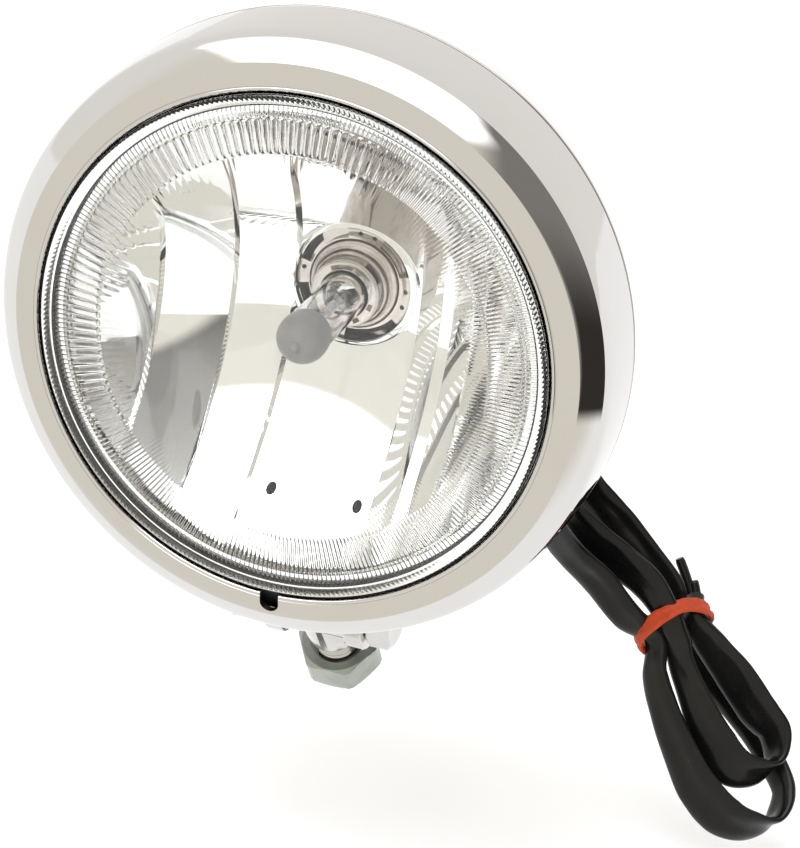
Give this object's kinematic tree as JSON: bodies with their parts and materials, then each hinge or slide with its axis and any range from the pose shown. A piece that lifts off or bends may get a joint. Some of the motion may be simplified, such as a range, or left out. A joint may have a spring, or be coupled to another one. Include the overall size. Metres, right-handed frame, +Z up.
{
  "type": "fog light",
  "caption": "Round chrome bullet-shell fog lamp with a fluted-edge clear lens, faceted reflector, axial halogen bulb, swivel stud mount and a folded cable.",
  "frame": {"origin": "centre of the mounting stud's end face, on the stud's axis", "axes": "+Y back along the lamp's optical axis, so the lens faces -Y; +Z up, the swivel mount is below the lamp; +X to the right looking along +Y. The optical axis is 99.2 mm above the origin"},
  "size_m": [0.1657, 0.0896, 0.1874],
  "materials": {
    "chrome": "bright polished chrome plate",
    "bright_steel": "bright pressed steel",
    "zinc_plate": "dull grey zinc plate",
    "lens_glass": "clear pressed glass",
    "bulb_glass": "clear quartz glass",
    "mirror_coat": "vapour-coated mirror",
    "black_rubber": "matte black rubber",
    "black_vinyl": "satin black vinyl sleeving",
    "black_plastic": "moulded black plastic",
    "grey_tip": "grey heat-proof tip coating",
    "tungsten": "drawn tungsten wire",
    "red_wire": "red wire insulation",
    "red_rubber": "orange-red rubber band"
  },
  "bodies": {
    "lamp_head": {"shell": "chrome", "trim_ring": "chrome", "trim_ring_hook": "bright_steel", "trim_ring_screw": "chrome", "trim_screw_plate": "bright_steel", "lens": "lens_glass", "lens_gasket": "black_rubber", "lens_sealant": "black_rubber", "reflector": "mirror_coat", "retaining_clip_1": "bright_steel", "retaining_clip_2": "bright_steel", "retaining_clip_3": "bright_steel", "retaining_clip_4": "bright_steel", "bulb_collar": "bright_steel", "wire_red": "red_wire", "wire_black": "black_vinyl", "cable_sleeve": "black_vinyl", "cable_grommet": "black_rubber", "rubber_band": "red_rubber", "lead_end_red": "red_wire", "lead_end_black": "black_vinyl", "outer_saddle": "chrome", "inner_saddle": "bright_steel"},
    "bulb": {"bulb_flange": "bright_steel", "bulb_glass": "bulb_glass", "bulb_tip_coat": "grey_tip", "bulb_filament": "tungsten", "bulb_body": "black_plastic", "bulb_seal": "black_rubber", "bulb_terminal_left": "bright_steel", "bulb_terminal_right": "bright_steel", "bulb_plug": "black_plastic"},
    "swivel_yoke": {"swivel_clevis": "chrome", "clevis_lock_washer": "zinc_plate", "clevis_nut": "zinc_plate", "pivot_bolt": "chrome", "pivot_lock_washer": "zinc_plate", "pivot_nut": "chrome"},
    "stud": {"mounting_stud": "chrome"},
    "nut": {"mount_nut": "zinc_plate"}
  },
  "joints": [
    {"name": "swivel_pan", "type": "hinge", "parent": "lamp_head", "child": "swivel_yoke", "pos_m": [0, -0.02185, 0.03565], "axis": [0, 0, 1], "range_deg": [-35, 35]},
    {"name": "swivel_tilt", "type": "hinge", "parent": "swivel_yoke", "child": "stud", "pos_m": [0, -0.02185, 0.02605], "axis": [1, 0, 0], "range_deg": [-85, 25]},
    {"name": "mount_nut_travel", "type": "slide", "parent": "stud", "child": "nut", "axis": [0, 0.6428, -0.766], "range_m": [-0.0055, 0.0067]},
    {"name": "bulb_twist", "type": "hinge", "parent": "lamp_head", "child": "bulb", "pos_m": [0, -0.01835, 0.09925], "axis": [0, 1, 0], "range_deg": [-30, 0]}
  ]
}
